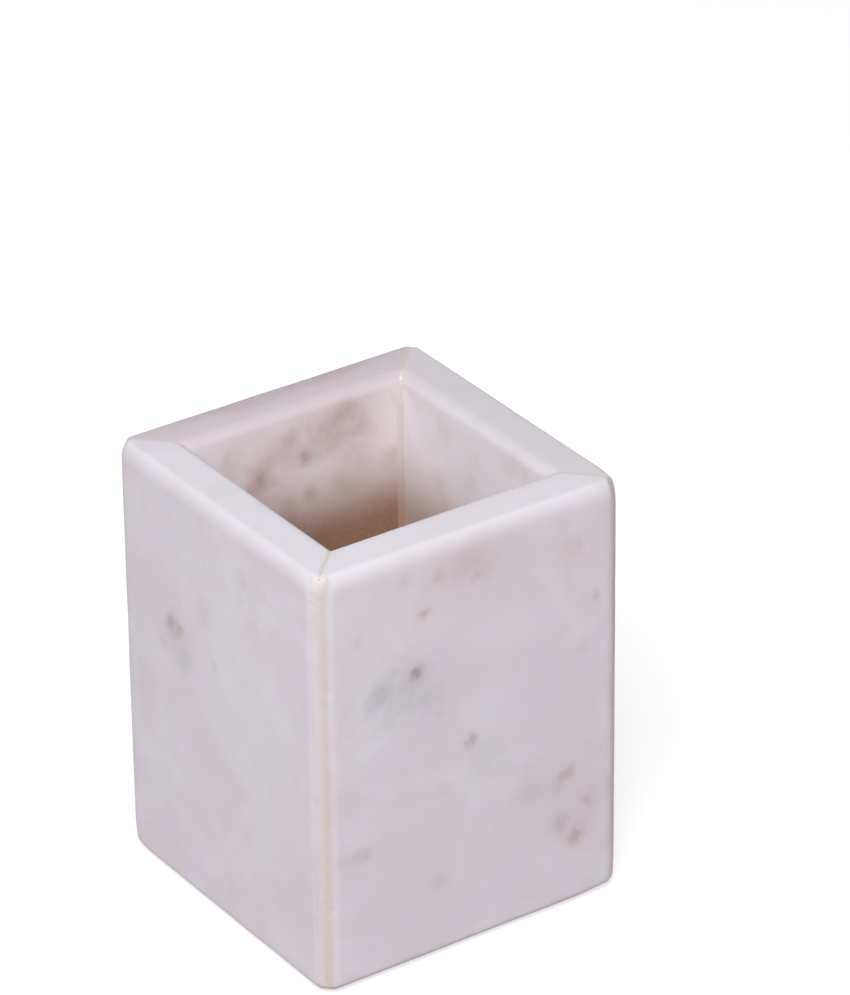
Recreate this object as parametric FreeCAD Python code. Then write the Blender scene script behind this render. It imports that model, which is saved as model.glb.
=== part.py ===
import FreeCAD
import Part
import math
import os

# Square stone tumbler for a washbasin: four mitred marble slabs bonded into a tube, a base slab set
# between them, the resin that holds them together and four pads to stand on.
# Millimetres, +Z up. The origin is on the surface that the pads stand on, under the middle of the base.
# Front is -Y and left is -X.

# Driving dimensions of the stone
WIDTH = 77.5  # outside, left to right
DEPTH = 77.5  # outside, front to rear
STONE_HEIGHT = 100.0  # from the foot of the walls to the rim
WALL = 11.4  # thickness of the four wall slabs
BASE = 10.0  # thickness of the base slab

# Edges that are ground and polished after the slabs are bonded
RIM_OUTER_RADIUS = 3.0  # top outside edge
RIM_INNER_RADIUS = 2.5  # top inside edge
FOOT_RADIUS = 1.8  # bottom outside edge
ARRIS = 2.6  # leg of the flat on each upright outside edge

# Resin
MITRE_SEAM = 0.5  # thickness in each mitred corner
BASE_SEAM = 0.5  # thickness all round the base slab
RESIN_BEAD = 0.8  # leg of the bead wiped into the inside corners

# Pads under the base slab
PAD_DIAMETER = 10.0
PAD_THICKNESS = 1.0
PAD_EDGE_RADIUS = 0.3  # softened edge of the face that meets the surface
PAD_INSET = 2.5  # from the base slab's edges to the pad's edge

# Heights that follow
FOOT = PAD_THICKNESS
RIM = FOOT + STONE_HEIGHT
FLOOR = FOOT + BASE  # inside floor of the tumbler
SEAM_FLAT = MITRE_SEAM / math.sqrt(2)  # the seam's share of each side at an inside corner
REACH = 2.0 * (WIDTH + DEPTH)  # longer than any piece, for the cutting solids

UP = FreeCAD.Vector(0, 0, 1)
SIDES = ("front", "right", "rear", "left")  # each a quarter turn on from the last
CORNERS = ("front_left", "front_right", "rear_right", "rear_left")  # each at its side's own left end


def point(x, y, z=0.0):
    return FreeCAD.Vector(x, y, z)


def rounded_face(corners):
    """A flat face from (point, radius) corners in order. A radius above zero rounds its corner."""
    edges = []
    ends = []
    for index, (corner, radius) in enumerate(corners):
        before = corners[index - 1][0]
        after = corners[(index + 1) % len(corners)][0]
        to_before = (before - corner).normalize()
        to_after = (after - corner).normalize()
        if radius <= 0:
            ends.append((corner, corner))
            continue
        half_angle = to_before.getAngle(to_after) / 2
        inward = (to_before + to_after).normalize()
        middle = corner + inward * (radius / math.sin(half_angle) - radius)
        setback = radius / math.tan(half_angle)
        start = corner + to_before * setback
        end = corner + to_after * setback
        edges.append(Part.Arc(start, middle, end).toShape())
        ends.append((start, end))
    for index, (_, leaving) in enumerate(ends):
        arriving = ends[(index + 1) % len(ends)][0]
        edges.append(Part.LineSegment(leaving, arriving).toShape())
    return Part.Face(Part.Wire(Part.__sortEdges__(edges)))


def prism(plan, bottom, top):
    """An upright solid from plan points (x, y)."""
    points = [point(x, y, bottom) for x, y in plan]
    return Part.Face(Part.makePolygon(points + points[:1])).extrude(UP * (top - bottom))


def inside_plan(inset, corner_leg):
    """The tumbler's inside outline, moved in by inset, with its four corners cut off at 45 degrees."""
    half_x = WIDTH / 2 - WALL - inset
    half_y = DEPTH / 2 - WALL - inset
    return [
        (-half_x + corner_leg, -half_y),
        (half_x - corner_leg, -half_y),
        (half_x, -half_y + corner_leg),
        (half_x, half_y - corner_leg),
        (half_x - corner_leg, half_y),
        (-half_x + corner_leg, half_y),
        (-half_x, half_y - corner_leg),
        (-half_x, -half_y + corner_leg),
    ]


def slab_section(standoff):
    """Cross-section of a front wall, in the YZ plane: eased foot, rounded rim."""
    outer = -standoff
    inner = -standoff + WALL
    return rounded_face(
        [
            (point(0, outer, FOOT), FOOT_RADIUS),
            (point(0, inner, FOOT), 0),
            (point(0, inner, RIM), RIM_INNER_RADIUS),
            (point(0, outer, RIM), RIM_OUTER_RADIUS),
        ]
    )


def mitred_plan(span, standoff):
    """Plan of a front wall between its two mitre faces, longer than the slab is thick at both ends."""
    half = span / 2 - SEAM_FLAT
    outer = -standoff - WALL
    inner = -standoff + 2 * WALL
    return [
        (-half - WALL, outer),
        (half + WALL, outer),
        (half - 2 * WALL, inner),
        (-half + 2 * WALL, inner),
    ]


def arris_limit(span, standoff, end):
    """Everything inside the flat on one upright edge of a front wall, end -1 for its left and 1 for its
    right. The rim and foot rounds are carried round the corner on it."""
    outward = point(end, -1).normalize()
    along = point(1, end).normalize()
    face_distance = (span / 2 + standoff - ARRIS) / math.sqrt(2)
    outer = outward * face_distance - along * REACH
    inner = outer - outward * REACH
    section = rounded_face(
        [
            (inner + UP * FOOT, 0),
            (outer + UP * FOOT, FOOT_RADIUS),
            (outer + UP * RIM, RIM_OUTER_RADIUS),
            (inner + UP * RIM, 0),
        ]
    )
    return section.extrude(along * (2 * REACH))


def wall_slab(span, standoff):
    """A front wall: the section run along the slab, mitred at both ends, with its upright edges flatted."""
    bar = slab_section(standoff).extrude(point(span, 0))
    bar.translate(point(-span / 2, 0))
    slab = bar.common(prism(mitred_plan(span, standoff), FOOT - WALL, RIM + WALL))
    for end in (-1, 1):
        slab = slab.common(arris_limit(span, standoff, end))
    return slab.removeSplitter().Solids[0]


def corner_bead(span, standoff):
    """The resin wiped into the inside corner at a front wall's left end, between floor and rim round."""
    corner_x = -span / 2 + WALL
    corner_y = -standoff + WALL
    near = SEAM_FLAT
    far = SEAM_FLAT + RESIN_BEAD
    plan = [
        (corner_x + near, corner_y),
        (corner_x + far, corner_y),
        (corner_x, corner_y + far),
        (corner_x, corner_y + near),
    ]
    return prism(plan, FLOOR + RESIN_BEAD, RIM - RIM_INNER_RADIUS)


def mitre_seam(slab, span, standoff):
    """The resin on a front wall's left mitre face, ground flush with the stone, and its inside bead."""
    across = point(-1, 1).normalize()
    mitre_face = next(face for face in slab.Faces if face.normalAt(0, 0).isEqual(across, 1e-6))
    layer = mitre_face.extrude(across * MITRE_SEAM)
    return layer.fuse(corner_bead(span, standoff)).removeSplitter().Solids[0]


def base_slab():
    """The base, set between the walls and flush with their feet."""
    width = WIDTH - 2 * (WALL + BASE_SEAM)
    depth = DEPTH - 2 * (WALL + BASE_SEAM)
    return Part.makeBox(width, depth, BASE, point(-width / 2, -depth / 2, FOOT))


def base_seam():
    """The ring of resin round the base slab, with a bead wiped along the inside floor."""
    ring = prism(inside_plan(0, SEAM_FLAT), FOOT, FLOOR + RESIN_BEAD)
    bead_leg = SEAM_FLAT + RESIN_BEAD
    outlines = []
    for inset, height in ((RESIN_BEAD, FLOOR), (0, FLOOR + RESIN_BEAD)):
        points = [point(x, y, height) for x, y in inside_plan(inset, bead_leg)]
        outlines.append(Part.makePolygon(points + points[:1]))
    clear_of_bead = Part.makeLoft(outlines, True, True)
    return ring.cut(base_slab()).cut(clear_of_bead).removeSplitter().Solids[0]


def pad(x, y):
    """A disc on the underside of the base slab, softened round its lower edge."""
    disc = Part.makeCylinder(PAD_DIAMETER / 2, PAD_THICKNESS, point(x, y, 0))
    lower_edges = [edge for edge in disc.Edges if edge.BoundBox.ZMax < PAD_THICKNESS / 2]
    return disc.makeFillet(PAD_EDGE_RADIUS, lower_edges)


def pad_centre(corner):
    """Where a corner's pad sits: the same distance from both edges of the base slab."""
    to_centre = WALL + BASE_SEAM + PAD_INSET + PAD_DIAMETER / 2
    x = WIDTH / 2 - to_centre
    y = DEPTH / 2 - to_centre
    return (x if "right" in corner else -x, y if "rear" in corner else -y)


def pieces():
    """Every piece of the tumbler by name."""
    made = {"base_slab": base_slab(), "base_seam": base_seam()}
    for quarter, (side, corner) in enumerate(zip(SIDES, CORNERS)):
        along_y = quarter % 2 == 1
        span = DEPTH if along_y else WIDTH
        standoff = (WIDTH if along_y else DEPTH) / 2
        slab = wall_slab(span, standoff)
        seam = mitre_seam(slab, span, standoff)
        for shape in (slab, seam):
            shape.rotate(point(0, 0), UP, 90 * quarter)
        made[side + "_wall"] = slab
        made[corner + "_seam"] = seam
        made[corner + "_pad"] = pad(*pad_centre(corner))
    return made


def main():
    os.makedirs("parts", exist_ok=True)
    for name, shape in pieces().items():
        shape.exportStep(os.path.join("parts", name + ".step"))
        print(name, "volume %.1f mm3" % shape.Volume, "valid" if shape.isValid() else "INVALID")


main()
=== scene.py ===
"""Square marble tumbler for a washbasin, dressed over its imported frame.

Four mitred wall slabs, the base slab, the resin between them and the discs under the base each stand for
their own solid. A pale studio and a camera above the front left corner complete the scene.
"""

import functools
import math
from typing import NamedTuple

import bmesh
import bpy
from bpy.props import FloatProperty, FloatVectorProperty, PointerProperty
from bpy.types import Operator, Panel, PropertyGroup
from mathutils import Matrix, Quaternion, Vector, noise


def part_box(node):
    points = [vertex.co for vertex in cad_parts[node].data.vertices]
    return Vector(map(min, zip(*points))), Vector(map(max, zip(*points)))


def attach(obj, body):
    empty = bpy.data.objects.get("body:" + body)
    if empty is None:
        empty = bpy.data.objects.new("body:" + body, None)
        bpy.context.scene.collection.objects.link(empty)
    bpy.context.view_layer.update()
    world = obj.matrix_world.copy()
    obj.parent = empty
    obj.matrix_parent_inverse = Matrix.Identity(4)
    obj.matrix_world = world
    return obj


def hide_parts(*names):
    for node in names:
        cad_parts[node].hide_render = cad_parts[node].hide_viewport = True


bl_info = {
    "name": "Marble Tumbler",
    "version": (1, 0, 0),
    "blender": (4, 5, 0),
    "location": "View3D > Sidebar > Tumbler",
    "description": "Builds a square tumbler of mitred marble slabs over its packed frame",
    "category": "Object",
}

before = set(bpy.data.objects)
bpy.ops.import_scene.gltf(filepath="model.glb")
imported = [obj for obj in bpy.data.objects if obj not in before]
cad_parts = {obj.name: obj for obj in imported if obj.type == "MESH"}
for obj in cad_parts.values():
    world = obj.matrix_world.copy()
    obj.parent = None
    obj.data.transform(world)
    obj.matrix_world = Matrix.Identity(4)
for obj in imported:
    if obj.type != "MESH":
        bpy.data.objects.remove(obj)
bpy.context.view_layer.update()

MM = 0.001
SNAP = 1e-6
UP = Vector((0, 0, 1))
SIDES = ("front", "right", "rear", "left")
CORNERS = ("front_left", "front_right", "rear_right", "rear_left")


def together(*nodes):
    """Lowest and highest corner of several solids."""
    boxes = [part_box(node) for node in nodes]
    low = Vector([min(box[0][axis] for box in boxes) for axis in range(3)])
    high = Vector([max(box[1][axis] for box in boxes) for axis in range(3)])
    return low, high


STONE_LOW, STONE_HIGH = together(*(side + "_wall" for side in SIDES))
STONE_SIZE = STONE_HIGH - STONE_LOW
BASE_LOW, BASE_HIGH = together("base_slab")
WALL_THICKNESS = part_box("front_wall")[1][1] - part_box("front_wall")[0][1]

# Mesh
RIM_STEPS = 9  # round the top outside edge
ROUND_STEPS = 5  # round the foot and the top inside edge
END_MARGIN = 14 * MM  # finely sliced stretch at both ends of a wall
EDGE_MARGIN = 8 * MM  # finely sliced stretch at its rim and foot
UPRIGHT_STRETCH = 1.3  # how much higher the slices are between those
SKIN = 0.05 * MM  # what counts as the surface of a wall
SHARP = math.radians(40)  # edges from this angle on are shaded as sharp

# Small forms
DRIFTS = ((14 * MM, 0.07 * MM), (3.5 * MM, 0.025 * MM))  # span and depth of the hand-ground unevenness
BEAD_TIP = 0.2  # the bead's share of its full leg at the rim round
BEAD_TAPER = 5 * MM  # over about which it thins out below the rim round
BEAD_HOLLOW = 0.3  # how far the floor bead's hollow stays off wall and floor, as a share of its leg
BASE_EASING = 0.35 * MM  # round on the base slab's edges
DISC_EASING = 0.3 * MM  # round on a disc's lower edge
DISC_SIDES = 64  # mesh steps round a disc

# Finishes
PAINTED_SHADE_FROM = 15 * MM  # below the rim, where the painted shade inside begins to turn it brown
PAINTED_SHADE_TO = 35 * MM  # below the rim, from where the painted shade is brown throughout
CELL_SHADE = (0.30, 0.29, 0.28)  # in the cells of the discs

# Studio
FLOOR_HALF = 6.0  # metres from the middle of the floor to its sides
SENSOR_WIDTH = 36.0  # millimetres


class TumblerSizes(PropertyGroup):
    """Sizes of the walls, their ground edges, the resin and the mesh."""

    wall: FloatProperty(
        name="Wall", description="Thickness of the wall slabs", default=WALL_THICKNESS, unit="LENGTH"
    )
    rim_outer: FloatProperty(
        name="Outer rim",
        description="How far in the top outside edge is ground",
        default=2.2 * MM,
        unit="LENGTH",
    )
    rim_drop: FloatProperty(
        name="Rim drop",
        description="How far down the top outside edge is ground",
        default=4.2 * MM,
        unit="LENGTH",
    )
    rim_inner: FloatProperty(
        name="Inner rim", description="Round on the top inside edge", default=2.5 * MM, unit="LENGTH"
    )
    foot: FloatProperty(
        name="Foot", description="Round on the bottom outside edge", default=1.8 * MM, unit="LENGTH"
    )
    arris: FloatProperty(
        name="Arris", description="Leg of the flat on each upright edge", default=2.6 * MM, unit="LENGTH"
    )
    arris_softening: FloatProperty(
        name="Arris softening",
        description="Reach of the round beside a flat",
        default=1.4 * MM,
        unit="LENGTH",
    )
    seam: FloatProperty(
        name="Seam", description="Thickness of the resin in a mitre", default=0.5 * MM, unit="LENGTH"
    )
    bead: FloatProperty(
        name="Bead",
        description="Leg of the resin bead in the inside corners",
        default=0.8 * MM,
        unit="LENGTH",
    )
    slice_fine: FloatProperty(
        name="Fine slice", description="Mesh spacing near the edges", default=0.6 * MM, unit="LENGTH"
    )
    slice_coarse: FloatProperty(
        name="Coarse slice", description="Mesh spacing on the flats", default=2.4 * MM, unit="LENGTH"
    )


class TumblerColours(PropertyGroup):
    """Colours of the stone, the resin and the discs, as linear values."""

    pale: FloatVectorProperty(
        name="Pale stone",
        description="Lightest clouds",
        subtype="COLOR",
        size=3,
        default=(0.668, 0.62, 0.682),
    )
    shade: FloatVectorProperty(
        name="Lilac stone",
        description="Darker clouds",
        subtype="COLOR",
        size=3,
        default=(0.615, 0.553, 0.617),
    )
    blush: FloatVectorProperty(
        name="Blush",
        description="Warm bloom in the stone",
        subtype="COLOR",
        size=3,
        default=(0.60, 0.535, 0.565),
    )
    ochre: FloatVectorProperty(
        name="Ochre",
        description="Faint yellow bloom in the stone",
        subtype="COLOR",
        size=3,
        default=(0.62, 0.58, 0.60),
    )
    tan: FloatVectorProperty(
        name="Tan", description="Iron-stained flecks", subtype="COLOR", size=3, default=(0.44, 0.32, 0.27)
    )
    umber: FloatVectorProperty(
        name="Umber", description="Dark inclusions", subtype="COLOR", size=3, default=(0.25, 0.165, 0.205)
    )
    grey: FloatVectorProperty(
        name="Grey", description="Graphite smudges", subtype="COLOR", size=3, default=(0.40, 0.382, 0.42)
    )
    rose: FloatVectorProperty(
        name="Rose",
        description="Broad rose-brown patches",
        subtype="COLOR",
        size=3,
        default=(0.52, 0.365, 0.345),
    )
    russet: FloatVectorProperty(
        name="Russet",
        description="Red-brown inclusions",
        subtype="COLOR",
        size=3,
        default=(0.34, 0.16, 0.135),
    )
    rust: FloatVectorProperty(
        name="Rust",
        description="Stain beside the resin",
        subtype="COLOR",
        size=3,
        default=(0.525, 0.44, 0.42),
    )
    # Painted shade: this brown, blended in deep inside, stands in for the shade and warm bounce light down in
    # the cup and is not a colour of the stone.
    deep: FloatVectorProperty(
        name="Deep inside",
        description="Unpolished stone down inside",
        subtype="COLOR",
        size=3,
        default=(0.30, 0.155, 0.09),
    )
    resin: FloatVectorProperty(
        name="Resin", description="Cream bonding resin", subtype="COLOR", size=3, default=(0.575, 0.51, 0.475)
    )
    bead: FloatVectorProperty(
        name="Inside bead",
        description="Resin wiped into the inside corners",
        subtype="COLOR",
        size=3,
        default=(0.66, 0.595, 0.575),
    )
    disc: FloatVectorProperty(
        name="Disc", description="Anti-slip discs", subtype="COLOR", size=3, default=(0.50, 0.49, 0.47)
    )


class StudioSettings(PropertyGroup):
    """Camera and light."""

    azimuth: FloatProperty(
        name="Azimuth",
        description="Camera's turn about the tumbler",
        default=math.radians(-34.37),
        unit="ROTATION",
    )
    elevation: FloatProperty(
        name="Elevation", description="Camera's height angle", default=math.radians(28.85), unit="ROTATION"
    )
    roll: FloatProperty(
        name="Roll",
        description="Camera's turn about its own view",
        default=math.radians(-0.64),
        unit="ROTATION",
    )
    distance: FloatProperty(
        name="Distance", description="From the stone's middle to the camera", default=1.2849, unit="LENGTH"
    )
    slide_right: FloatProperty(
        name="Slide right", description="Camera moved to its own right", default=11.73 * MM, unit="LENGTH"
    )
    slide_up: FloatProperty(
        name="Slide up", description="Camera moved along its own up", default=35.31 * MM, unit="LENGTH"
    )
    lens: FloatProperty(
        name="Lens", description="Focal length on a 36 mm sensor", default=216.8, unit="CAMERA"
    )
    ambient: FloatProperty(
        name="Ambient", description="Level of light from all round", default=0.345
    )
    key_level: FloatProperty(
        name="Key level", description="What a white card facing the key lamp shows", default=1.05
    )
    key_place: FloatVectorProperty(
        name="Key place",
        description="Key lamp from the stone's middle",
        default=(-0.54, -0.5635, 0.845),
        size=3,
        subtype="XYZ",
    )
    key_size: FloatProperty(
        name="Key size", description="Side of the square key lamp", default=0.6, unit="LENGTH"
    )
    floor_tone: FloatProperty(
        name="Floor tone", description="Grey of the floor as light sees it", default=0.5
    )
    floor_lift: FloatProperty(
        name="Floor lift", description="What is added to the floor as the camera sees it", default=0.66
    )


class Signal:
    """A value in a node tree. Arithmetic on it adds Math nodes to the same tree."""

    def __init__(self, recipe, socket):
        self.recipe = recipe
        self.socket = socket

    def maths(self, operation, first, second):
        return self.recipe.add("ShaderNodeMath", {"operation": operation}, {0: first, 1: second})

    def __add__(self, other):
        return self.maths("ADD", self, other)

    __radd__ = __add__

    def __sub__(self, other):
        return self.maths("SUBTRACT", self, other)

    def __rsub__(self, other):
        return self.maths("SUBTRACT", other, self)

    def __mul__(self, other):
        return self.maths("MULTIPLY", self, other)

    __rmul__ = __mul__

    def __abs__(self):
        return self.recipe.add("ShaderNodeMath", {"operation": "ABSOLUTE"}, {0: self})

    def or_more(self, other):
        return self.maths("MAXIMUM", self, other)


class Recipe:
    """The node tree of a material or world, with one way to add a node to it."""

    def __init__(self, owner):
        owner.use_nodes = True
        self.owner = owner
        self.tree = owner.node_tree
        self.tree.nodes.clear()

    def add(self, kind, settings=None, sockets=None, out=0):
        """A node of that kind. Settings come first, then each socket takes a value or a link."""
        node = self.tree.nodes.new(kind)
        for name, value in (settings or {}).items():
            setattr(node, name, value)
        for name, value in (sockets or {}).items():
            if isinstance(value, Signal):
                self.tree.links.new(value.socket, node.inputs[name])
            else:
                node.inputs[name].default_value = value
        return Signal(self, node.outputs[out]) if node.outputs else None

    def noise(self, place, size, detail=3.0, roughness=0.55, distortion=0.0, out="Fac"):
        """Noise whose features are about that many metres across."""
        sockets = {
            "Vector": place,
            "Scale": 1 / size,
            "Detail": detail,
            "Roughness": roughness,
            "Distortion": distortion,
        }
        return self.add("ShaderNodeTexNoise", {}, sockets, out)

    def split(self, vector):
        """The three parts of a vector."""
        node = self.add("ShaderNodeSeparateXYZ", {}, {"Vector": vector}).socket.node
        return [Signal(self, socket) for socket in node.outputs]

    def rise(self, value, low, high):
        """0 below low, 1 above high and smooth between. With low above high it falls instead."""
        sockets = {"Value": value, "From Min": low, "From Max": high}
        return self.add("ShaderNodeMapRange", {"interpolation_type": "SMOOTHSTEP"}, sockets)

    def blend(self, share, first, second):
        """A colour between first and second."""
        colours = [c if isinstance(c, Signal) else (*c, 1.0) for c in (first, second)]
        sockets = {0: share, 6: colours[0], 7: colours[1]}
        return self.add("ShaderNodeMix", {"data_type": "RGBA"}, sockets, out=2)

    def nudge(self, place, drift, amount):
        """A place moved about by a noise colour, by up to about half of amount each way."""
        centred = self.add("ShaderNodeVectorMath", {"operation": "SUBTRACT"}, {0: drift, 1: (0.5, 0.5, 0.5)})
        sockets = {0: centred, 1: (amount, amount, amount), 2: place}
        return self.add("ShaderNodeVectorMath", {"operation": "MULTIPLY_ADD"}, sockets)

    def bump(self, height, strength, distance):
        """The surface's normal, tilted as if it were raised by a height."""
        sockets = {"Strength": strength, "Distance": distance, "Height": height}
        return self.add("ShaderNodeBump", {}, sockets, out="Normal")

    def finish(self, **sockets):
        """Ends the tree in a Principled shader. Underscores in socket names stand for spaces."""
        named = {name.replace("_", " "): value for name, value in sockets.items()}
        shader = self.add("ShaderNodeBsdfPrincipled", {}, named)
        self.add("ShaderNodeOutputMaterial", {}, {"Surface": shader})
        return self.owner


class Mark(NamedTuple):
    """A stain in a slab, in a few places partly painted shadow: its kind, place and half sizes in
    millimetres, tilt in degrees and strength.
    """

    kind: str
    across: float
    height: float
    wide: float
    tall: float
    tilt: float
    strength: float
    inside: bool = False
    deep: float = 0.0


MARKS = {
    "front": (
        Mark("blush", -3.0, 94.0, 26.0, 8.0, 0, 0.55),
        Mark("rose", 0.0, 92.0, 15.0, 7.0, 0, 0.16),
        Mark("rose", 28.0, 88.0, 9.0, 9.0, 0, 0.16),
        Mark("rose", 30.0, 30.0, 7.0, 16.0, 0, 0.14),
        Mark("blush", 25.0, 26.0, 8.0, 10.0, 0, 0.45),
        Mark("ochre", -27.0, 88.0, 9.0, 11.0, 0, 0.45),
        Mark("ochre", -16.0, 30.0, 11.0, 17.0, 10, 0.55),
        Mark("pale", 9.0, 75.0, 16.0, 8.0, 10, 0.55),
        Mark("pale", 2.0, 31.0, 9.0, 10.0, 0, 0.45),
        Mark("pale", 4.0, 55.0, 15.0, 12.0, 0, 0.45),
        Mark("pale", 14.0, 14.0, 17.0, 7.0, 0, 0.40),
        Mark("shade", 24.0, 50.0, 12.0, 9.0, 0, 0.20),
        Mark("umber", -14.4, 72.0, 2.3, 2.0, 10, 0.85),
        Mark("umber", -31.0, 32.8, 5.5, 2.3, 0, 0.22),
        Mark("umber", -28.1, 32.7, 2.4, 1.7, -10, 0.26),
        Mark("umber", 31.5, 74.8, 1.2, 1.7, 0, 0.30),
        Mark("grey", -23.4, 69.2, 5.8, 4.2, 48, 0.66),
        Mark("grey", -20.0, 73.3, 2.2, 1.5, 20, 0.50),
        Mark("grey", -17.0, 66.4, 10.5, 6.2, -12, 0.48),
        Mark("grey", -12.9, 64.9, 4.2, 2.8, -10, 0.50),
        Mark("grey", -21.5, 62.5, 6.0, 3.6, 10, 0.30),
        Mark("grey", -8.7, 60.5, 2.4, 1.8, -30, 0.32),
        Mark("grey", -28.9, 83.6, 1.5, 2.0, 0, 0.28),
        Mark("grey", -13.6, 55.4, 1.3, 1.6, 0, 0.20),
        Mark("grey", 15.0, 33.0, 4.4, 4.8, 0, 0.26),
        Mark("grey", 3.7, 46.0, 5.0, 7.0, 0, 0.22),
        Mark("grey", 20.6, 30.6, 1.8, 1.7, 0, 0.42),
        Mark("grey", 23.3, 22.2, 1.4, 1.9, 20, 0.42),
        Mark("grey", 29.6, 24.4, 1.1, 1.7, 0, 0.35),
        Mark("tan", -12.2, 85.4, 2.6, 2.0, 0, 0.48),
        Mark("tan", -8.4, 92.9, 3.0, 2.6, 0, 0.40),
        Mark("tan", -0.6, 93.5, 6.0, 5.0, 0, 0.30),
        Mark("tan", 0.6, 89.7, 2.6, 2.2, 0, 0.38),
        Mark("tan", -17.2, 94.7, 1.8, 2.0, 0, 0.28),
        Mark("tan", 26.0, 88.5, 4.0, 2.8, 0, 0.28),
        Mark("tan", -1.0, 50.8, 2.0, 3.0, 10, 0.52),
        Mark("tan", 23.4, 33.4, 3.3, 1.9, 35, 0.52),
        Mark("tan", 22.4, 21.6, 2.3, 2.9, 25, 0.38),
        Mark("tan", 26.5, 17.4, 3.2, 3.0, 40, 0.58),
        Mark("tan", 29.2, 24.9, 1.7, 2.4, 10, 0.36),
        Mark("tan", 28.0, 64.0, 1.8, 2.4, 0, 0.22),
        Mark("tan", -9.4, 19.0, 2.8, 2.4, 20, 0.24),
        Mark("tan", -8.0, 41.0, 3.0, 3.0, 0, 0.18),
        Mark("tan", 37.0, 52.0, 0.9, 46.0, 0, 0.38),
        Mark("tan", 35.2, 27.0, 1.6, 3.2, 0, 0.30),
    ),
    "left": (
        Mark("blush", 17.0, 62.0, 7.0, 8.0, 0, 0.55),
        Mark("blush", -30.0, 16.0, 8.0, 10.0, 0, 0.45),
        Mark("ochre", -24.0, 32.0, 11.0, 14.0, 0, 0.55),
        Mark("ochre", 28.0, 46.0, 6.0, 9.0, 0, 0.50),
        Mark("pale", -20.0, 60.0, 12.0, 14.0, 0, 0.45),
        Mark("pale", 1.0, 58.0, 14.0, 17.0, 0, 0.60),
        Mark("pale", 10.0, 30.0, 14.0, 12.0, 0, 0.40),
        Mark("umber", 18.3, 65.6, 1.8, 2.4, -20, 0.58),
        Mark("russet", 16.6, 63.2, 2.2, 2.2, -25, 0.32),
        Mark("umber", 21.0, 59.3, 1.2, 1.6, -20, 0.20),
        Mark("umber", 1.2, 62.6, 1.5, 1.6, 0, 0.20),
        Mark("grey", 13.1, 58.5, 3.0, 4.6, -20, 0.30),
        Mark("grey", -9.6, 84.0, 1.3, 1.3, 0, 0.22),
        Mark("russet", 15.2, 65.2, 2.2, 2.2, 0, 0.50),
        Mark("tan", -11.2, 87.9, 2.2, 2.4, 0, 0.28),
        Mark("tan", -14.4, 79.0, 3.0, 4.2, -10, 0.22),
        Mark("tan", 4.4, 74.8, 3.2, 5.0, -15, 0.18),
        Mark("tan", 28.0, 46.0, 4.4, 6.5, 0, 0.22),
    ),
    "rear": (
        # Inside, rose and russet are the stone's pinkish-brown cloud and red spots; the strong rose marks
        # right of the middle also darken it there as painted shadow.
        Mark("rose", 11.0, 92.5, 10.0, 7.0, 0, 0.66, inside=True),
        Mark("rose", -3.0, 91.0, 9.0, 6.0, 0, 0.36, inside=True),
        Mark("rose", -6.0, 82.0, 8.0, 7.0, 0, 0.42, inside=True),
        Mark("rose", 15.0, 84.0, 7.0, 10.0, 0, 0.42, inside=True),
        Mark("russet", 12.0, 95.5, 6.0, 2.6, 15, 0.24, inside=True),
        Mark("russet", 2.8, 88.0, 2.4, 2.2, 0, 0.66, inside=True),
        Mark("russet", 3.0, 79.0, 2.4, 2.6, 0, 0.36, inside=True),
        Mark("russet", -10.1, 85.8, 3.2, 2.8, 20, 0.56, inside=True),
        Mark("umber", 0.0, 101.0, 42.0, 5.0, 0, 0.48, deep=6.5),
        Mark("umber", 0.5, 100.5, 2.4, 2.0, 0, 0.45, deep=3.0),
        Mark("tan", 16.0, 100.8, 12.0, 3.0, 0, 0.45, deep=4.0),
        Mark("tan", -16.0, 100.8, 12.0, 3.0, 0, 0.40, deep=4.0),
        Mark("umber", -21.0, 44.0, 3.0, 2.2, 25, 0.55),
        Mark("grey", -12.0, 47.0, 9.0, 4.0, 30, 0.40),
        Mark("tan", 16.0, 78.0, 4.4, 2.6, -20, 0.45),
        Mark("tan", 22.0, 22.0, 2.4, 3.0, 10, 0.45),
    ),
    "right": (
        Mark("grey", 8.0, 58.0, 8.0, 3.8, 30, 0.45),
        Mark("umber", 14.5, 62.0, 1.9, 1.7, 0, 0.70),
        Mark("tan", -18.0, 30.0, 3.2, 2.0, 25, 0.50),
        Mark("tan", -22.0, 83.0, 4.6, 3.0, 0, 0.35),
        Mark("tan", 24.0, 18.0, 2.0, 2.4, 0, 0.40),
    ),
    "base": (),
}


MARK_KINDS = ("pale", "shade", "blush", "ochre", "rose", "tan", "grey", "russet", "umber")  # lowest first


class Cut(NamedTuple):
    """Where in the block a slab was cut and how it differs from the rest.

    Warmth adds blush and rose, rusting stains its upright flats and depth_shade_share sets how strongly
    painted shade darkens it deep inside.
    The lining is the colour of its inside face, paler than the stone as painted light; crown is the colour of
    its top.
    """

    shift: tuple
    warmth: float
    rusting: float
    depth_shade_share: float
    lining_and_painted_light: tuple
    crown: tuple


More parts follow.
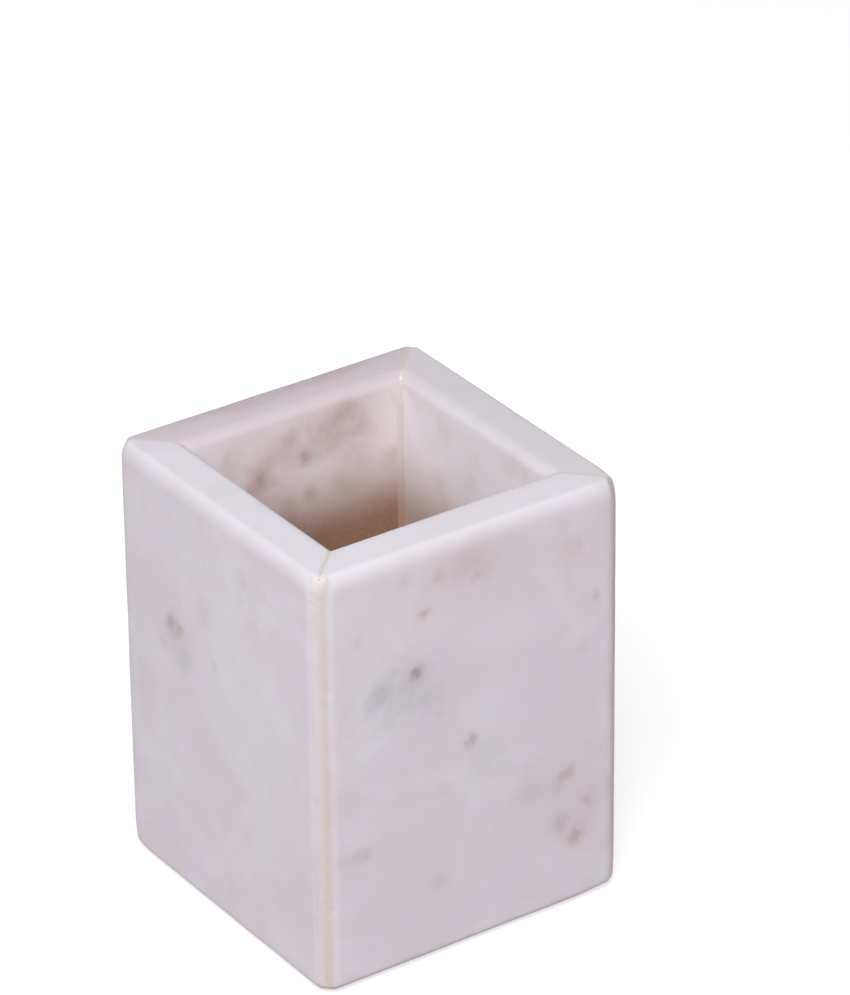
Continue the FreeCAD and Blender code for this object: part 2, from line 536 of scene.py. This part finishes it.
# Linings are paler than the stone to paint the light on the inside faces; crowns, the tops, are darker on the
# rear and right slabs.
CUTS = {
    "front": Cut(
        shift=(0.31, 0.12, 0.07),
        warmth=0.0,
        rusting=0.85,
        depth_shade_share=0.8,
        lining_and_painted_light=(0.72, 0.66, 0.69),
        crown=(0.65, 0.632, 0.685),
    ),
    "right": Cut(
        shift=(0.62, 0.45, 0.21),
        warmth=0.05,
        rusting=0.65,
        depth_shade_share=0.7,
        lining_and_painted_light=(0.87, 0.84, 0.88),
        crown=(0.56, 0.525, 0.57),
    ),
    "rear": Cut(
        shift=(0.15, 0.83, 0.37),
        warmth=0.2,
        rusting=0.55,
        depth_shade_share=1.0,
        lining_and_painted_light=(0.84, 0.765, 0.775),
        crown=(0.53, 0.476, 0.51),
    ),
    "left": Cut(
        shift=(0.44, 0.27, 0.58),
        warmth=0.0,
        rusting=0.4,
        depth_shade_share=0.8,
        lining_and_painted_light=(0.72, 0.66, 0.69),
        crown=(0.632, 0.615, 0.662),
    ),
    "base": Cut(
        shift=(0.71, 0.18, 0.66),
        warmth=0.2,
        rusting=0.0,
        depth_shade_share=0.5,
        lining_and_painted_light=(0.68, 0.60, 0.58),
        crown=(0.60, 0.52, 0.50),
    ),
}


def place_of(side, mark, wall):
    """The middle of a mark on its slab's outside or inside face, in the frame's metres."""
    along_x = side in ("front", "rear")
    half = (STONE_SIZE.y if along_x else STONE_SIZE.x) / 2
    standing = half - (wall if mark.inside else 0)
    outward = -standing if side in ("front", "left") else standing
    across = mark.across * MM
    height = mark.height * MM
    return (across, outward, height) if along_x else (outward, across, height)


def mark_share(recipe, place, side, mark, wall):
    """How much of a mark shows at a place: 1 at its middle, fading to 0 at its ragged edge."""
    along_x = side in ("front", "rear")
    deep = mark.deep or max(mark.wide, mark.tall)
    sizes = (mark.wide, deep, mark.tall) if along_x else (deep, mark.wide, mark.tall)
    faces_front_or_left = (side in ("front", "left")) != mark.inside
    turn = math.radians(-mark.tilt if faces_front_or_left else mark.tilt)
    local = recipe.add(
        "ShaderNodeMapping",
        {"vector_type": "TEXTURE"},
        {
            "Vector": place,
            "Location": place_of(side, mark, wall),
            "Rotation": (0, turn, 0) if along_x else (turn, 0, 0),
            "Scale": [size * MM for size in sizes],
        },
    )
    reach = recipe.add("ShaderNodeVectorMath", {"operation": "LENGTH"}, {0: local}, out="Value")
    return (recipe.rise(reach, 1.25, 0.1) * 0.8 + recipe.rise(reach, 2.6, 0.4) * 0.2) * mark.strength


class Spot(NamedTuple):
    """Where a point of the stone lies, as values in a slab's node tree. Inner is 1 on its inside face."""

    place: Signal
    in_block: Signal
    across_x: Signal
    across_y: Signal
    height: Signal
    outward: Signal
    inner: Signal


def find_spot(recipe, cut, sizes):
    """The values that the layers of a slab's finish share."""
    place = recipe.add("ShaderNodeTexCoord", out="Object")
    in_block = recipe.add("ShaderNodeMapping", {}, {"Vector": place, "Location": cut.shift})
    across_x, across_y, height = recipe.split(place)
    across_x, across_y = abs(across_x), abs(across_y)
    outward = across_x.or_more(across_y)
    inside = STONE_SIZE.x / 2 - sizes.wall
    inner = recipe.rise(outward, inside + 2.6 * MM, inside + 0.2 * MM)
    inner = inner * recipe.rise(height, STONE_HIGH.z - 0.3 * MM, STONE_HIGH.z - 3.0 * MM)
    return Spot(place, in_block, across_x, across_y, height, outward, inner)


def painted_depth_shade(recipe, height):
    """Share of the painted shade inside: 0 near the rim and 1 far below it."""
    return recipe.rise(height, STONE_HIGH.z - PAINTED_SHADE_FROM, STONE_HIGH.z - PAINTED_SHADE_TO)


def lilac_clouds(recipe, spot, patches, cut, colours):
    """The ground of the stone: clouds of lilac, blush and ochre."""
    clouds = recipe.noise(spot.in_block, 26 * MM, detail=4.0, distortion=0.7)
    warm = recipe.noise(spot.in_block, 19 * MM, detail=4.0, distortion=1.2)
    stone = recipe.blend(recipe.rise(clouds, 0.34, 0.68), colours.shade, colours.pale)
    stone = recipe.blend(recipe.rise(patches, 0.5, 0.75) * 0.3, stone, colours.shade)
    stone = recipe.blend(recipe.rise(warm, 0.50, 0.72) * (0.35 + cut.warmth), stone, colours.blush)
    return recipe.blend(recipe.rise(warm, 0.48, 0.30) * 0.4, stone, colours.ochre)


def crown_and_lining(recipe, spot, stone, cut, colours):
    """The polished crown, and inside it a lining that is paler than the stone below the round as painted
    light and browner further down as painted shade.
    """
    on_top = recipe.rise(spot.height, STONE_HIGH.z - 3.0 * MM, STONE_HIGH.z - 0.8 * MM)
    stone = recipe.blend(on_top * 0.8, stone, cut.crown)
    # Painted light: below the round the inside face takes the pale lining colour.
    stone = recipe.blend(spot.inner * 0.85, stone, cut.lining_and_painted_light)
    mottles = recipe.noise(spot.in_block, 8 * MM, detail=2.0, roughness=0.4)
    mottling = recipe.rise(mottles, 0.45, 0.75) * (0.10 + spot.inner * cut.warmth * 1.75)
    stone = recipe.blend(mottling, stone, colours.rose)
    # Painted shade: the inside turns darker and browner further below the rim.
    return recipe.blend(spot.inner * painted_depth_shade(recipe, spot.height) * cut.depth_shade_share, stone, colours.deep)


def hand_laid_marks(recipe, spot, stone, side, sizes, colours):
    """The slab's own marks, with ragged edges and a darker heart in the tan ones."""
    drift = recipe.noise(spot.in_block, 5 * MM, detail=4.0, roughness=0.65, out="Color")
    flutter = recipe.noise(spot.in_block, 1.6 * MM, detail=3.0, out="Color")
    ragged = recipe.nudge(recipe.nudge(spot.place, drift, 4.0 * MM), flutter, 1.4 * MM)
    crumb = recipe.rise(recipe.noise(spot.in_block, 2.2 * MM, detail=3.0, roughness=0.6), 0.3, 0.65)
    for kind in MARK_KINDS:
        marks = [mark for mark in MARKS[side] if mark.kind == kind]
        if not marks:
            continue
        shares = [mark_share(recipe, ragged, side, mark, sizes.wall) for mark in marks]
        share = functools.reduce(Signal.or_more, shares) * (0.7 + crumb * 0.3)
        stone = recipe.blend(share, stone, getattr(colours, kind))
        if kind == "tan":
            stone = recipe.blend(recipe.rise(share, 0.2, 0.6) * 0.3, stone, colours.umber)
    return stone


def stained_corners(recipe, spot, stone, cut, sizes, colours):
    """Warm stain on the upright flats, which at their tips also dims the highlight as painted shade, resin
    smeared along the mitres and grime where a flat meets a face.
    """
    half_x, half_y = STONE_SIZE.x / 2, STONE_SIZE.y / 2
    inside = half_x - sizes.wall
    to_flat = spot.across_x + spot.across_y - (half_x + half_y - sizes.arris)
    from_mitre = abs(spot.across_x - spot.across_y - (half_x - half_y))
    wander = recipe.noise(spot.in_block, 7 * MM, detail=4.0)
    patchy = recipe.rise(wander, 0.3, 0.7)
    # At the top of each flat the stain reaches in over the rim round: there it is partly stain and partly
    # painted shade that dims the highlight at the tip.
    over_rim = recipe.rise(spot.height, STONE_HIGH.z - sizes.rim_drop, STONE_HIGH.z - 1.0 * MM) * (1.8 * MM)
    on_flat = recipe.rise(to_flat + over_rim, -1.2 * MM, -0.1 * MM)
    on_flat = on_flat * recipe.rise(from_mitre, 3.6 * MM, 1.6 * MM)
    stone = recipe.blend(on_flat * (0.8 + patchy * 0.3) * cut.rusting, stone, colours.rust)
    in_wall = recipe.rise(spot.outward, inside - 1.0 * MM, inside - 0.2 * MM)
    smear = recipe.rise(from_mitre, 1.2 * MM, 0.5 * MM) * (0.2 + patchy * 0.35) * in_wall
    stone = recipe.blend(smear, stone, colours.resin)
    beside_flat = recipe.rise(abs(from_mitre - sizes.arris), 0.5 * MM, 0.1 * MM)
    grime = beside_flat * recipe.rise(to_flat, -0.9 * MM, -0.3 * MM) * recipe.rise(wander, 0.4, 0.6)
    return recipe.blend(grime * (0.5 - cut.rusting * 0.5), stone, colours.tan)


def marble(side, sizes, colours):
    """Satin marble for one slab, cut from its own part of the block, with a painted shade line round its
    foot.
    """
    cut = CUTS[side]
    recipe = Recipe(bpy.data.materials.new("marble_" + side))
    spot = find_spot(recipe, cut, sizes)
    patches = recipe.noise(spot.in_block, 11 * MM, detail=5.0, roughness=0.6)
    stone = lilac_clouds(recipe, spot, patches, cut, colours)
    stone = crown_and_lining(recipe, spot, stone, cut, colours)
    stone = hand_laid_marks(recipe, spot, stone, side, sizes, colours)
    stone = stained_corners(recipe, spot, stone, cut, sizes, colours)
    # Painted shade: a darker tan line round the foot, where it meets the floor.
    foot_shade = recipe.rise(spot.height, STONE_LOW.z + 1.6 * MM, STONE_LOW.z + 0.6 * MM)
    stone = recipe.blend(foot_shade * 0.65, stone, colours.tan)
    grain = recipe.noise(spot.in_block, 0.7 * MM, detail=2.0)
    stone = recipe.blend(recipe.rise(grain, 0.35, 0.7) * 0.10, stone, colours.shade)
    swell = recipe.noise(spot.in_block, 9 * MM, detail=2.0)
    bump = recipe.bump(grain * 0.4 + swell, strength=0.12, distance=0.05 * MM)
    rough = 0.42 + patches * 0.14 + spot.inner * 0.08
    return recipe.finish(Base_Color=stone, Roughness=rough, Normal=bump, IOR=1.49)


def cream_resin(colours):
    """Bonding resin, cream with tan streaks, and paler where it is wiped into the inside corners, where
    painted shade turns it browner further down.
    """
    recipe = Recipe(bpy.data.materials.new("cream_resin"))
    place = recipe.add("ShaderNodeTexCoord", out="Object")
    streak = recipe.noise(place, 6 * MM, detail=4.0, distortion=0.5)
    speck = recipe.noise(place, 1.2 * MM, detail=3.0)
    tone = recipe.blend(recipe.rise(streak, 0.4, 0.7) * 0.6, colours.resin, colours.rust)
    tone = recipe.blend(recipe.rise(speck, 0.62, 0.72) * 0.4, tone, colours.tan)
    across_x, across_y, height = recipe.split(place)
    inside = STONE_SIZE.x / 2 - WALL_THICKNESS
    inner = recipe.rise(abs(across_x).or_more(abs(across_y)), inside + 0.4 * MM, inside + 0.2 * MM)
    tone = recipe.blend(inner * 0.85, tone, colours.bead)
    # Painted shade: the resin in the inside corners turns browner further down too.
    tone = recipe.blend(inner * painted_depth_shade(recipe, height) * 0.8, tone, colours.deep)
    bump = recipe.bump(speck, strength=0.3, distance=0.1 * MM)
    return recipe.finish(Base_Color=tone, Roughness=0.32 + streak * 0.2, Normal=bump)


def grip_foam(colours):
    """Fine-celled foam rubber."""
    recipe = Recipe(bpy.data.materials.new("grip_foam"))
    place = recipe.add("ShaderNodeTexCoord", out="Object")
    cells = recipe.add("ShaderNodeTexVoronoi", {}, {"Vector": place, "Scale": 1 / (0.5 * MM)}, out="Distance")
    dust = recipe.noise(place, 3 * MM, detail=4.0)
    shaded = recipe.rise(cells, 0.5, 0.1) * 0.35 + recipe.rise(dust, 0.5, 0.7) * 0.2
    tone = recipe.blend(shaded, colours.disc, CELL_SHADE)
    bump = recipe.bump(cells, strength=0.5, distance=0.15 * MM)
    return recipe.finish(Base_Color=tone, Roughness=0.75 + dust * 0.1, Normal=bump)


def everything(bm):
    return [*bm.verts, *bm.edges, *bm.faces]


def bevel(bm, edges, width, segments):
    """Rounds or flats edges."""
    bmesh.ops.bevel(
        bm,
        geom=edges,
        offset=width,
        offset_type="OFFSET",
        segments=segments,
        profile=0.5,
        affect="EDGES",
        clamp_overlap=False,
        material=-1,
    )


def cut_off(bm, point, outward):
    """Cuts away what lies outside a plane and closes the cut."""
    cut = bmesh.ops.bisect_plane(
        bm, geom=everything(bm), dist=SNAP, plane_co=point, plane_no=outward, clear_outer=True
    )
    rim = [item for item in cut["geom_cut"] if isinstance(item, bmesh.types.BMEdge)]
    bmesh.ops.edgeloop_fill(bm, edges=rim)


def slice_up(bm, axis, places):
    """Adds mesh lines across every face at places along an axis."""
    for place in places:
        bmesh.ops.bisect_plane(bm, geom=everything(bm), dist=SNAP, plane_co=axis * place, plane_no=axis)


def graded(low, high, fine, coarse, margin):
    """Places between low and high, closer together within margin of both ends."""
    places = []
    here = low + fine
    while here < high - fine / 2:
        places.append(here)
        near_end = min(here - low, high - here) < margin
        here += fine if near_end else coarse
    return places


def at_level(edge, axis, level):
    """Whether both ends of an edge lie at a level along an axis."""
    return all(abs(vert.co[axis] - level) < 10 * SNAP for vert in edge.verts)


def slab_blank(span, standoff, sizes):
    """A front wall: a bar mitred at both ends, its upright edges flatted and its rim and foot rounded."""
    low, high = STONE_LOW.z, STONE_HIGH.z
    outer, inner = -standoff, -standoff + sizes.wall
    bm = bmesh.new()
    bmesh.ops.create_cube(bm, size=1.0)
    bmesh.ops.scale(bm, vec=(span, sizes.wall, high - low), verts=bm.verts)
    bmesh.ops.translate(bm, vec=(0, (outer + inner) / 2, (low + high) / 2), verts=bm.verts)
    for end in (-1, 1):
        corner = Vector((end * span / 2, outer, 0))
        mitre_out = Vector((end, 1, 0)).normalized()
        cut_off(bm, corner - mitre_out * (sizes.seam / 2), mitre_out)
    for end in (-1, 1):
        corner = Vector((end * span / 2, outer, 0))
        cut_off(bm, corner - Vector((end * sizes.arris, 0, 0)), Vector((end, -1, 0)).normalized())
    middle = (outer + inner) / 2
    front_half = [edge for edge in bm.edges if all(v.co.y < middle for v in edge.verts)]
    squash = sizes.rim_outer / sizes.rim_drop
    bmesh.ops.scale(bm, vec=(1, 1, squash), verts=bm.verts)
    bevel(bm, [edge for edge in front_half if at_level(edge, 2, high * squash)], sizes.rim_outer, RIM_STEPS)
    bmesh.ops.scale(bm, vec=(1, 1, 1 / squash), verts=bm.verts)
    front_half = [edge for edge in bm.edges if all(v.co.y < middle for v in edge.verts)]
    bevel(bm, [edge for edge in front_half if at_level(edge, 2, low)], sizes.foot, ROUND_STEPS)
    top_inner = [edge for edge in bm.edges if at_level(edge, 2, high) and at_level(edge, 1, inner)]
    bevel(bm, top_inner, sizes.rim_inner, ROUND_STEPS)
    fine, coarse = sizes.slice_fine, sizes.slice_coarse
    slice_up(bm, Vector((1, 0, 0)), graded(-span / 2, span / 2, fine, coarse, END_MARGIN))
    slice_up(bm, Vector((0, 1, 0)), graded(outer, inner, 2 * fine, 2 * fine, 0))
    slice_up(bm, UP, graded(low, high, fine, UPRIGHT_STRETCH * fine, EDGE_MARGIN))
    ease_upright_edges(bm, span, standoff, sizes)
    return bm


def outside_by(out, height, sizes):
    """How far a point lies outside an upright plane that is rounded off at the rim and the foot."""
    rim = (sizes.rim_outer, sizes.rim_drop, height - STONE_HIGH.z)
    foot = (sizes.foot, sizes.foot, STONE_LOW.z - height)
    for inset, drop, over in (rim, foot):
        if out > -inset and over > -drop:
            return (math.hypot(out / inset + 1, over / drop + 1) - 1) * inset
    return out


def ease_upright_edges(bm, span, standoff, sizes):
    """Grinds the line between a wall's face and the flat on each upright edge into a round."""
    reach = sizes.arris_softening
    for vert in bm.verts:
        x, y, z = vert.co
        face = outside_by(-y - standoff, z, sizes)
        flat = outside_by((abs(x) - y - span / 2 - standoff + sizes.arris) / math.sqrt(2), z, sizes)
        near = 1 - abs(face - flat) / reach
        if near <= 0 or max(face, flat) < -SKIN:
            continue
        rise = max((z - STONE_HIGH.z) / sizes.rim_drop + 1, (STONE_LOW.z - z) / sizes.foot + 1, 0)
        share = (1 + (flat - face) / reach) / 2
        outward = Vector((0, -1, 0)).lerp(Vector((math.copysign(1, x), -1, 0)).normalized(), share)
        vert.co -= outward.normalized() * (reach / 4 * near**2 * max(1 - rise**2, 0))


class Worn(NamedTuple):
    """A place where the stone is ground or chipped away: its middle, reach and depth in millimetres."""

    x: float
    y: float
    z: float
    reach: float
    depth: float


WORN = (
    Worn(-38.0, 38.0, 1.0, 7.0, 0.45),
    Worn(35.0, -38.6, 0.0, 8.0, 0.40),
    Worn(37.0, -37.0, 100.0, 6.0, 0.40),
    Worn(-38.6, -36.2, 97.0, 1.1, 0.22),
    Worn(-38.6, -36.2, 94.5, 1.2, 0.22),
    Worn(-38.6, -36.2, 92.3, 1.0, 0.18),
    Worn(-36.0, -38.6, 74.0, 1.4, 0.20),
    Worn(-38.5, -36.0, 47.0, 1.6, 0.20),
    Worn(-36.2, -38.6, 21.0, 1.5, 0.20),
    Worn(38.6, -36.0, 66.0, 1.6, 0.25),
    Worn(36.2, -38.6, 38.0, 1.4, 0.20),
    Worn(38.6, 36.2, 83.0, 1.6, 0.25),
    Worn(-38.6, 36.0, 58.0, 1.6, 0.25),
)


WEAR_SEED = 7  # fixes the drift, so that every run gives the same stone


def wear(bm):
    """Hand-ground unevenness: the same small drift at the same place on every piece, so that joints meet."""
    noise.seed_set(WEAR_SEED)
    middle = (STONE_LOW + STONE_HIGH) / 2
    for vert in bm.verts:
        here = vert.co.copy()
        for span, depth in DRIFTS:
            vert.co += noise.noise_vector(here / span) * depth
        for worn in WORN:
            spot = Vector((worn.x, worn.y, worn.z)) * MM
            near = 1 - (here - spot).length_squared / (worn.reach * MM) ** 2
            if near > 0:
                vert.co += (middle - spot).normalized() * (worn.depth * MM * near**2)


def piece(name, bm, node, material):
    """Makes a finished mesh into a piece that rides on the tumbler and stands for its solid."""
    bmesh.ops.recalc_face_normals(bm, faces=bm.faces)
    for face in bm.faces:
        face.smooth = True
    for edge in bm.edges:
        edge.smooth = len(edge.link_faces) == 2 and edge.calc_face_angle() < SHARP
    mesh = bpy.data.meshes.new(name)
    bm.to_mesh(mesh)
    bm.free()
    obj = bpy.data.objects.new(name, mesh)
    bpy.context.scene.collection.objects.link(obj)
    obj.data.materials.append(material)
    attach(obj, "root")
    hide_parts(node)
    return obj


def side_frame(quarter):
    """Span, standoff and turn of the wall a number of quarter turns on from the front."""
    along_y = quarter % 2 == 1
    span = STONE_SIZE.y if along_y else STONE_SIZE.x
    standoff = (STONE_SIZE.x if along_y else STONE_SIZE.y) / 2
    return span, standoff, Matrix.Rotation(math.radians(90 * quarter), 3, "Z")


class TUMBLER_OT_slabs(Operator):
    """Make the four mitred wall slabs"""

    bl_idname = "tumbler.slabs"
    bl_label = "Wall Slabs"

    def execute(self, context):
        sizes, colours = context.scene.tumbler_sizes, context.scene.tumbler_colours
        for quarter, side in enumerate(SIDES):
            span, standoff, turn = side_frame(quarter)
            bm = slab_blank(span, standoff, sizes)
            bmesh.ops.rotate(bm, cent=(0, 0, 0), matrix=turn, verts=bm.verts)
            wear(bm)
            piece(side + "_slab", bm, side + "_wall", marble(side, sizes, colours))
        return {"FINISHED"}


class TUMBLER_OT_seams(Operator):
    """Make the resin in the four mitres, with its bead in the inside corner"""

    bl_idname = "tumbler.seams"
    bl_label = "Mitre Seams"

    def execute(self, context):
        sizes, colours = context.scene.tumbler_sizes, context.scene.tumbler_colours
        finish = cream_resin(colours)
        for quarter, corner in enumerate(CORNERS):
            span, standoff, turn = side_frame(quarter)
            bm = slab_blank(span, standoff, sizes)
            across = Vector((-1, 1, 0)).normalized()
            bm.normal_update()
            for face in bm.faces:
                face.select = face.normal.dot(across) > 0.999
            bmesh.ops.delete(bm, geom=[face for face in bm.faces if not face.select], context="FACES")
            grown = bmesh.ops.extrude_face_region(bm, geom=bm.faces[:], use_keep_orig=True)
            moved = [item for item in grown["geom"] if isinstance(item, bmesh.types.BMVert)]
            bmesh.ops.translate(bm, vec=across * sizes.seam, verts=moved)
            add_bead(bm, Vector((-span / 2 + sizes.wall, -standoff + sizes.wall, 0)), sizes)
            bmesh.ops.rotate(bm, cent=(0, 0, 0), matrix=turn, verts=bm.verts)
            wear(bm)
            piece(corner + "_resin", bm, corner + "_seam", finish)
        return {"FINISHED"}


def add_bead(bm, corner, sizes):
    """Draws the seam's inside edge out into a bead along both walls, from the floor to the rim round."""
    inward = Vector((1, 1, 0)).normalized()
    low, high = BASE_HIGH.z + sizes.bead, STONE_HIGH.z - sizes.rim_inner
    bm.normal_update()
    strip = []
    for face in bm.faces:
        middle = face.calc_center_median()
        in_corner = (middle - corner).xy.length < sizes.seam
        if face.normal.dot(inward) > 0.9 and in_corner and low < middle.z < high:
            strip.append(face)
    grown = bmesh.ops.extrude_face_region(bm, geom=strip)
    bmesh.ops.delete(bm, geom=strip, context="FACES_ONLY")
    for vert in [item for item in grown["geom"] if isinstance(item, bmesh.types.BMVert)]:
        on_front_wall = vert.co.x - corner.x > vert.co.y - corner.y
        leg = sizes.bead * min(BEAD_TIP + (high - vert.co.z) / BEAD_TAPER, 1)
        vert.co += Vector((leg, 0, 0)) if on_front_wall else Vector((0, leg, 0))


class TUMBLER_OT_base(Operator):
    """Make the base slab"""

    bl_idname = "tumbler.base"
    bl_label = "Base Slab"

    def execute(self, context):
        sizes, colours = context.scene.tumbler_sizes, context.scene.tumbler_colours
        size = BASE_HIGH - BASE_LOW
        bm = bmesh.new()
        bmesh.ops.create_cube(bm, size=1.0)
        bmesh.ops.scale(bm, vec=size, verts=bm.verts)
        bmesh.ops.translate(bm, vec=(BASE_LOW + BASE_HIGH) / 2, verts=bm.verts)
        bevel(bm, bm.edges[:], BASE_EASING, 2)
        coarse = 2 * sizes.slice_coarse
        slice_up(bm, Vector((1, 0, 0)), graded(BASE_LOW.x, BASE_HIGH.x, coarse, coarse, 0))
        slice_up(bm, Vector((0, 1, 0)), graded(BASE_LOW.y, BASE_HIGH.y, coarse, coarse, 0))
        wear(bm)
        piece("base_stone", bm, "base_slab", marble("base", sizes, colours))
        return {"FINISHED"}


class TUMBLER_OT_base_seam(Operator):
    """Make the ring of resin round the base slab"""

    bl_idname = "tumbler.base_seam"
    bl_label = "Base Seam"

    def execute(self, context):
        sizes, colours = context.scene.tumbler_sizes, context.scene.tumbler_colours
        half = Vector((STONE_SIZE.x / 2 - sizes.wall, STONE_SIZE.y / 2 - sizes.wall, 0))
        gap = half.x - BASE_HIGH.x
        foot, floor = BASE_LOW.z, BASE_HIGH.z
        hollow = BEAD_HOLLOW * sizes.bead
        profile = (
            (0, foot),
            (0, floor + sizes.bead),
            (hollow, floor + hollow),
            (sizes.bead, floor),
            (gap, floor),
            (gap, foot),
        )
        bm = bmesh.new()
        ring = [bm.verts.new((-half.x + inset, -half.y + inset, z)) for inset, z in profile]
        loop = [bm.edges.new((ring[i - 1], ring[i])) for i in range(len(ring))]
        bmesh.ops.spin(
            bm, geom=[*ring, *loop], cent=(0, 0, 0), axis=UP, angle=2 * math.pi, steps=4, use_merge=True
        )
        bmesh.ops.remove_doubles(bm, verts=bm.verts, dist=SNAP)
        piece("base_resin", bm, "base_seam", cream_resin(colours))
        return {"FINISHED"}


class TUMBLER_OT_discs(Operator):
    """Make the four anti-slip discs under the base"""

    bl_idname = "tumbler.discs"
    bl_label = "Anti-slip Discs"

    def execute(self, context):
        finish = grip_foam(context.scene.tumbler_colours)
        for corner in CORNERS:
            low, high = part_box(corner + "_pad")
            low, high = Vector(low), Vector(high)
            bm = bmesh.new()
            radius = (high.x - low.x) / 2
            bmesh.ops.create_cone(
                bm, cap_ends=True, segments=DISC_SIDES, radius1=radius, radius2=radius, depth=high.z - low.z
            )
            bmesh.ops.translate(bm, vec=(low + high) / 2, verts=bm.verts)
            bevel(bm, [edge for edge in bm.edges if at_level(edge, 2, low.z)], DISC_EASING, 4)
            piece(corner + "_disc", bm, corner + "_pad", finish)
        return {"FINISHED"}


class TUMBLER_OT_studio(Operator):
    """Make the floor, the light and the camera"""

    bl_idname = "tumbler.studio"
    bl_label = "Studio"

    def execute(self, context):
        settings = context.scene.tumbler_studio
        lay_floor(settings)
        light_world(context.scene, settings)
        hang_lamp("key", Vector(settings.key_place), settings.key_size, settings.key_level)
        aim_camera(context.scene, settings)
        context.scene.view_settings.view_transform = "Standard"
        return {"FINISHED"}


def seen_straight(recipe):
    """1 for what the camera sees straight, in a reflection or through glass, and 0 for lighting."""
    path = recipe.add("ShaderNodeLightPath").socket.node
    names = ("Is Camera Ray", "Is Glossy Ray", "Is Transmission Ray")
    camera, glossy, through = (Signal(recipe, path.outputs[name]) for name in names)
    return camera.or_more(glossy).or_more(through)


def lay_floor(settings):
    """A wide pale floor that keeps the tumbler's shadow."""
    bm = bmesh.new()
    bmesh.ops.create_grid(bm, x_segments=2, y_segments=2, size=FLOOR_HALF)
    mesh = bpy.data.meshes.new("floor")
    bm.to_mesh(mesh)
    bm.free()
    floor = bpy.data.objects.new("floor", mesh)
    bpy.context.scene.collection.objects.link(floor)
    recipe = Recipe(bpy.data.materials.new("pale_floor"))
    tone = settings.floor_tone
    matt = recipe.add("ShaderNodeBsdfDiffuse", {}, {"Color": (tone, tone, tone, 1.0)})
    lift = recipe.add("ShaderNodeEmission", {}, {"Strength": seen_straight(recipe) * settings.floor_lift})
    both = recipe.add("ShaderNodeAddShader", {}, {0: matt, 1: lift})
    recipe.add("ShaderNodeOutputMaterial", {}, {"Surface": both})
    mesh.materials.append(recipe.owner)


def light_world(scene, settings):
    """Even light from all round, and plain white where the camera sees past the floor."""
    scene.world = bpy.data.worlds.new("studio_world")
    recipe = Recipe(scene.world)
    lighting = recipe.add("ShaderNodeBackground", {}, {"Color": (1, 1, 1, 1), "Strength": settings.ambient})
    white = recipe.add("ShaderNodeBackground", {}, {"Color": (1, 1, 1, 1), "Strength": 1.0})
    both = recipe.add("ShaderNodeMixShader", {}, {0: seen_straight(recipe), 1: lighting, 2: white})
    recipe.add("ShaderNodeOutputWorld", {}, {"Surface": both})


def hang_lamp(name, offset, size, level):
    """A square lamp aimed at the stone's middle. Level is what a white card facing it would show."""
    middle = (STONE_LOW + STONE_HIGH) / 2
    lamp = bpy.data.lights.new(name, "AREA")
    lamp.shape = "SQUARE"
    lamp.size = size
    lamp.energy = level * math.pi**2 * offset.length_squared
    obj = bpy.data.objects.new(name, lamp)
    obj.location = middle + offset
    obj.rotation_mode = "QUATERNION"
    obj.rotation_quaternion = (-offset).to_track_quat("-Z", "Y")
    bpy.context.scene.collection.objects.link(obj)


def aim_camera(scene, settings):
    """A long lens above the front left corner."""
    a, e = settings.azimuth, settings.elevation
    back = Vector((math.sin(a) * math.cos(e), -math.cos(a) * math.cos(e), math.sin(e)))
    turn = (-back).to_track_quat("-Z", "Y") @ Quaternion((0, 0, 1), settings.roll)
    right, up = turn @ Vector((1, 0, 0)), turn @ Vector((0, 1, 0))
    camera = bpy.data.cameras.new("camera")
    camera.lens = settings.lens
    camera.sensor_width = SENSOR_WIDTH
    obj = bpy.data.objects.new("camera", camera)
    middle = (STONE_LOW + STONE_HIGH) / 2
    obj.location = middle + back * settings.distance + right * settings.slide_right + up * settings.slide_up
    obj.rotation_mode = "QUATERNION"
    obj.rotation_quaternion = turn
    scene.collection.objects.link(obj)
    scene.camera = obj


class TUMBLER_PT_panel(Panel):
    """Lists the steps that build the tumbler"""

    bl_idname = "TUMBLER_PT_panel"
    bl_label = "Marble Tumbler"
    bl_space_type = "VIEW_3D"
    bl_region_type = "UI"
    bl_category = "Tumbler"

    def draw(self, context):
        for operator in OPERATORS:
            self.layout.operator(operator.bl_idname)
        for name, group in GROUPS.items():
            for setting in group.__annotations__:
                self.layout.prop(getattr(context.scene, name), setting)


OPERATORS = (
    TUMBLER_OT_slabs,
    TUMBLER_OT_seams,
    TUMBLER_OT_base,
    TUMBLER_OT_base_seam,
    TUMBLER_OT_discs,
    TUMBLER_OT_studio,
)
GROUPS = {"tumbler_sizes": TumblerSizes, "tumbler_colours": TumblerColours, "tumbler_studio": StudioSettings}


def register():
    for cls in (*GROUPS.values(), *OPERATORS, TUMBLER_PT_panel):
        bpy.utils.register_class(cls)
    for name, group in GROUPS.items():
        setattr(bpy.types.Scene, name, PointerProperty(type=group))


def unregister():
    for name in GROUPS:
        delattr(bpy.types.Scene, name)
    for cls in reversed((*GROUPS.values(), *OPERATORS, TUMBLER_PT_panel)):
        bpy.utils.unregister_class(cls)


def main():
    register()
    bpy.ops.tumbler.slabs()
    bpy.ops.tumbler.seams()
    bpy.ops.tumbler.base()
    bpy.ops.tumbler.base_seam()
    bpy.ops.tumbler.discs()
    bpy.ops.tumbler.studio()


if __name__ == "__main__":
    main()
